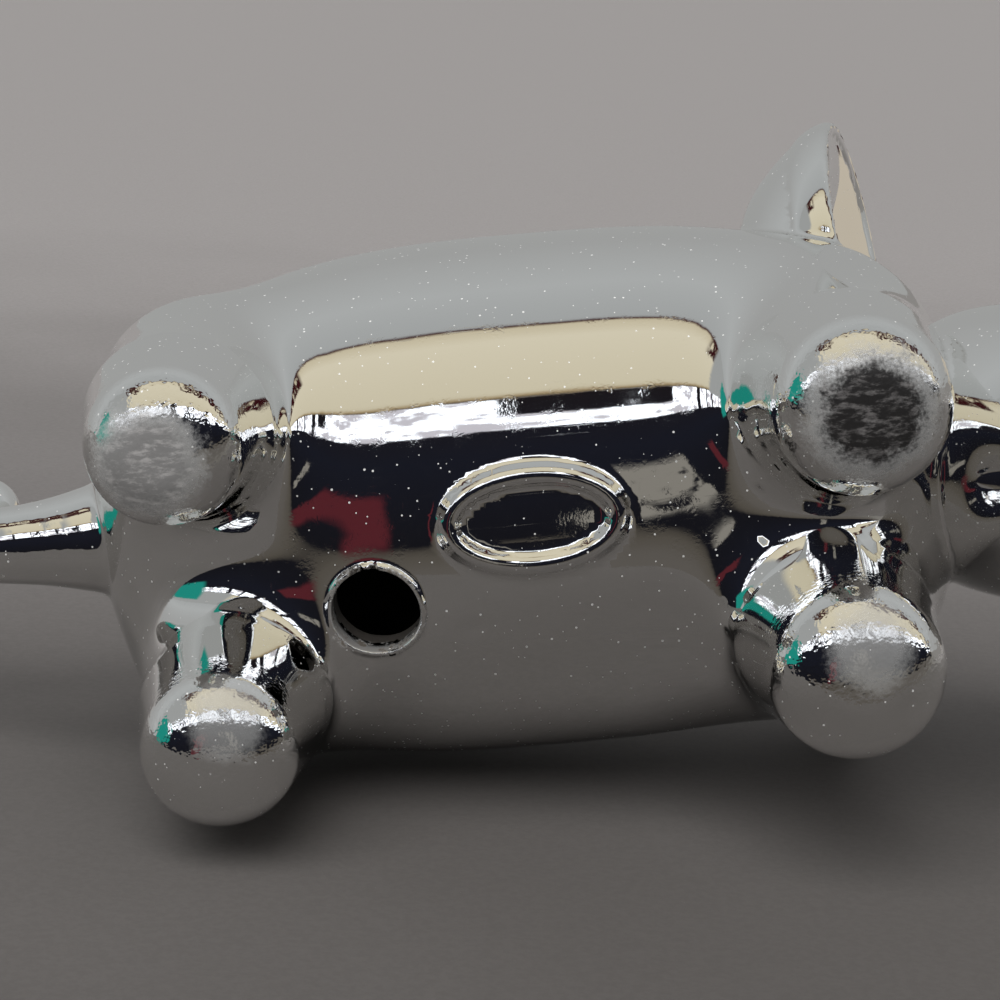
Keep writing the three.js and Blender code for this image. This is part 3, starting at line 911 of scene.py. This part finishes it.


# Paper that the figurine lies against on its left side, pale floor under its feet
# painted shade: the paper is painted darker near the figurine and towards the camera, going from the near
# colour to its own colour over a range of depths in mm
paper = dict(flank=25.2, flankAt=-20.0, earClear=32.6, earAt=32.0, near=-50.0, far=80000.0, wide=20000.0,
             nearShadeColour=(0.082, 0.075, 0.071), colour=(0.275, 0.259, 0.254), rough=0.85,
             shadeFade=(-20.0, 640.0), uneven=200.0, fibre=(0.02, 0.018, 0.016), fibreShare=0.12, grain=0.02)
floor = dict(size=3000.0, colour=(0.74, 0.735, 0.725), darker=0.94, uneven=0.3, rough=0.8)


def oneSided(g, shader, hidden=None):  # seen only from its front
    clear = g.node("ShaderNodeBsdfTransparent")
    back = g.node("ShaderNodeNewGeometry", output="Backfacing")
    share = back if hidden is None else back.maths("MAXIMUM", hidden)
    g.surface(g.node("ShaderNodeMixShader", None, {0: share, 1: shader, 2: clear}))


def addSheet(name, corners, surface):
    mesh = bpy.data.meshes.new(name)
    mesh.from_pydata([tuple(v * mm for v in corner) for corner in corners], [], [(0, 1, 2, 3)])
    mesh.materials.append(surface)
    sheet = bpy.data.objects.new(name, mesh)
    bpy.context.scene.collection.objects.link(sheet)


def addPaper():
    made, g = material("paper")
    spot = g.ownPlace()
    fibre = g.noise(spot, 1.3, 5.0, 0.7)
    depth = g.axes(spot)[2] + paper["uneven"] * g.noise(spot, 0.012, 2.0)
    # painted shade: the paper darkens towards the figurine and the camera, with an uneven edge
    colour = g.mix(depth.between(*paper["shadeFade"]), paper["nearShadeColour"], paper["colour"])
    colour = g.mix(fibre.between(0.35, 0.65) * paper["fibreShare"], colour, paper["fibre"])
    oneSided(g, g.shader(colour, paper["rough"], fibre * paper["grain"]))
    slope = (paper["earClear"] - paper["flank"]) / (paper["earAt"] - paper["flankAt"])
    ends = []
    for x, z in ((-1, "near"), (1, "near"), (1, "far"), (-1, "far")):
        forward = x * paper["wide"]
        side = paper["flank"] + slope * (forward - paper["flankAt"])
        ends.append((forward + barrelMiddle, side, paper[z]))
    addSheet("paper_backdrop", ends, made)


def addFloor():
    made, g = material("paleFloor")
    darker = tuple(floor["darker"] * c for c in floor["colour"])
    colour = g.mix(g.noise(g.ownPlace(), 0.01) * floor["uneven"], floor["colour"], darker)
    seen = g.node("ShaderNodeLightPath", output="Is Camera Ray")
    oneSided(g, g.shader(colour, floor["rough"]), 1 - seen)  # the floor is for the eye alone
    s = floor["size"]
    addSheet("floor", [(-s, -s, 0), (s, -s, 0), (s, s, 0), (-s, s, 0)], made)


lamp = dict(spot=(-300.0, -1900.0, -1300.0), aim=(0.0, 10.0, 30.0), strength=3.15, soft=math.radians(55))


def addLamp():  # soft light from the window's side, which the plating doesn't mirror as a lamp
    data = bpy.data.lights.new("key", "SUN")
    data.energy = lamp["strength"]
    data.angle = lamp["soft"]
    key = bpy.data.objects.new("key", data)
    key.location = Vector(lamp["spot"]) * mm
    towards = Vector(lamp["aim"]) - Vector(lamp["spot"])
    key.rotation_euler = towards.to_track_quat("-Z", "Y").to_euler()
    key.visible_glossy = False
    bpy.context.scene.collection.objects.link(key)


# What the plating mirrors: angles turn about the body's length, 0 straight down, 90 to the right
room = dict(
    plain=0.5, backdrop=(0.80, 0.79, 0.775), uneven=2.2,
    walls=[(-180, (0.26, 0.25, 0.24)), (-60, (0.2, 0.19, 0.175)), (-30, (0.12, 0.11, 0.1)),
           (-19, (0.11, 0.1, 0.09)), (-13, (0.085, 0.075, 0.062)), (-11.5, (0.008, 0.008, 0.011)),
           (20, (0.01, 0.011, 0.018)), (45.0, (0.012, 0.01, 0.012)), (45.4, (0.3, 0.2, 0.08)),
           (46.6, (0.42, 0.33, 0.2)), (48, (0.66, 0.6, 0.45)), (76, (0.72, 0.66, 0.51)),
           (83.8, (0.6, 0.53, 0.38)), (84.2, (0.045, 0.008, 0.01)), (85.3, (0.06, 0.012, 0.014)),
           (85.8, (0.4, 0.415, 0.42)), (110, (0.45, 0.465, 0.47)), (150, (0.38, 0.385, 0.385)),
           (180, (0.36, 0.365, 0.36))],
    window=dict(angles=(31, 45.2), bright=(1.75, 1.85, 2.0), dim=(0.62, 0.6, 0.66)),
    things=dict(ahead=(-0.008, 0.118), angles=(37.5, 45.4)),
    maroon=dict(ahead=(-0.34, -0.23), angles=(-12, 8), colour=(0.1, 0.018, 0.024), share=0.9),
    grey=dict(ahead=(0.055, 0.17), angles=(-10, 10), colour=(0.24, 0.225, 0.2)),
    curtain=dict(away=(0.3, 0.42), angles=(72, 85.2), colour=(0.04, 0.007, 0.009)),
    pale=dict(ahead=(-0.52, -0.6), angles=(44, 88), colour=(0.36, 0.37, 0.37)),
    teal=dict(ahead=(-0.84, -0.88), angles=(15, 75), colour=(0.015, 0.27, 0.22)),
    high=dict(up=(0.55, 0.65), beside=(-0.08, 0.16), ahead=(0.53, 0.56), colour=(0.55, 0.49, 0.4)),
    strip=dict(beside=(0.0, 0.04), ahead=(0.42, 0.54), colour=(0.035, 0.008, 0.01)),
)


def windowWall(g, colour, towards, x, angle, ragged):  # the window, with the dark things that stand before it
    window, things = room["window"], room["things"]
    pane = angle.band(*window["angles"], 0.35)
    stand = (x + 0.02 * (ragged - 0.5)).band(*things["ahead"], 0.003) * angle.band(*things["angles"], 0.4)
    frames = g.noise(g.scaled(towards, (1, 0, 0)), 7.5, 1.0).between(0.56, 0.585)
    pane = pane * (1 - stand) * (1 - frames * (x.maths("ABSOLUTE") > 0.12))
    bright = g.mix(g.noise(towards, 14.0, 2.0).between(0.46, 0.58), window["bright"], window["dim"])
    return g.mix(pane, colour, bright)


def faintShapes(g, colour, x, angle, coarse, ragged):  # in the dark part of the room and beside the window
    maroon, grey, curtain, pale, teal = [room[name] for name in ("maroon", "grey", "curtain", "pale", "teal")]
    patch = (x + 0.1 * (coarse - 0.5)).band(*maroon["ahead"], 0.015)
    patch = patch * (angle + 10 * (coarse - 0.5)).band(*maroon["angles"], 2)
    colour = g.mix(patch * maroon["share"], colour, maroon["colour"])
    patch = (x + 0.08 * (ragged - 0.5)).band(*grey["ahead"], 0.008)
    patch = patch * (angle + 16 * (coarse - 0.5)).band(*grey["angles"], 1.5)
    colour = g.mix(patch * ragged.between(0.36, 0.46), colour, grey["colour"])
    patch = x.maths("ABSOLUTE").between(*curtain["away"]) * angle.band(*curtain["angles"], 1.5)
    colour = g.mix(patch * ragged.between(0.35, 0.5), colour, curtain["colour"])
    colour = g.mix(x.between(*pale["ahead"]) * angle.band(*pale["angles"], 1), colour, pale["colour"])
    return g.mix(x.between(*teal["ahead"]) * angle.band(*teal["angles"], 3), colour, teal["colour"])


def highAhead(g, colour, axes, ragged):  # what the dish of an ear mirrors
    x, y, z = axes
    high, strip = room["high"], room["strip"]
    patch = z.between(*high["up"]) * y.band(*high["beside"], 0.03)
    uneven = x + 0.1 * (ragged - 0.5)
    colour = g.mix(patch * uneven.between(*high["ahead"]), colour, high["colour"])
    patch = patch * y.between(*strip["beside"]) * uneven.band(*strip["ahead"], 0.015)
    return g.mix(patch, colour, strip["colour"])


def addWorld():
    world = bpy.data.worlds.new("room")
    world.use_nodes = True
    bpy.context.scene.world = world
    g = Graph(world.node_tree)
    towards = g.node("ShaderNodeTexCoord", output="Generated")
    x, y, z = g.axes(towards)
    ragged = g.noise(towards, 9.0, 3.0, 0.6)
    coarse = g.noise(towards, 3.2, 3.0, 0.6)
    angle = (y * -1).maths("ARCTAN2", z * -1) * (180 / math.pi) + room["uneven"] * (ragged - 0.5)
    stops = [((place + 180) / 360, colour) for place, colour in room["walls"]]
    colour = g.node("ShaderNodeValToRGB", {"stops": stops}, {0: (angle + 180) / 360})
    colour = windowWall(g, colour, towards, x, angle, ragged)
    colour = faintShapes(g, colour, x, angle, coarse, ragged)
    colour = highAhead(g, colour, (x, y, z), ragged)
    mirrored = g.node("ShaderNodeBackground", None, {"Color": colour, "Strength": 1.0})
    plain = g.node("ShaderNodeBackground", None, {"Color": (1, 1, 1, 1), "Strength": room["plain"]})
    behind = g.node("ShaderNodeBackground", None, {"Color": (*room["backdrop"], 1), "Strength": 1.0})
    seen = g.node("ShaderNodeLightPath", output="Is Camera Ray")
    glossy = seen.sibling("Is Glossy Ray")
    light = g.node("ShaderNodeMixShader", None, {0: glossy, 1: plain, 2: mirrored})
    whole = g.node("ShaderNodeMixShader", None, {0: seen, 1: light, 2: behind})
    g.node("ShaderNodeOutputWorld", None, {"Surface": whole})


addCamera()
addPaper()
addFloor()
addLamp()
addWorld()
bpy.context.scene.view_settings.view_transform = "Standard"
print("stage, lamp and room made")
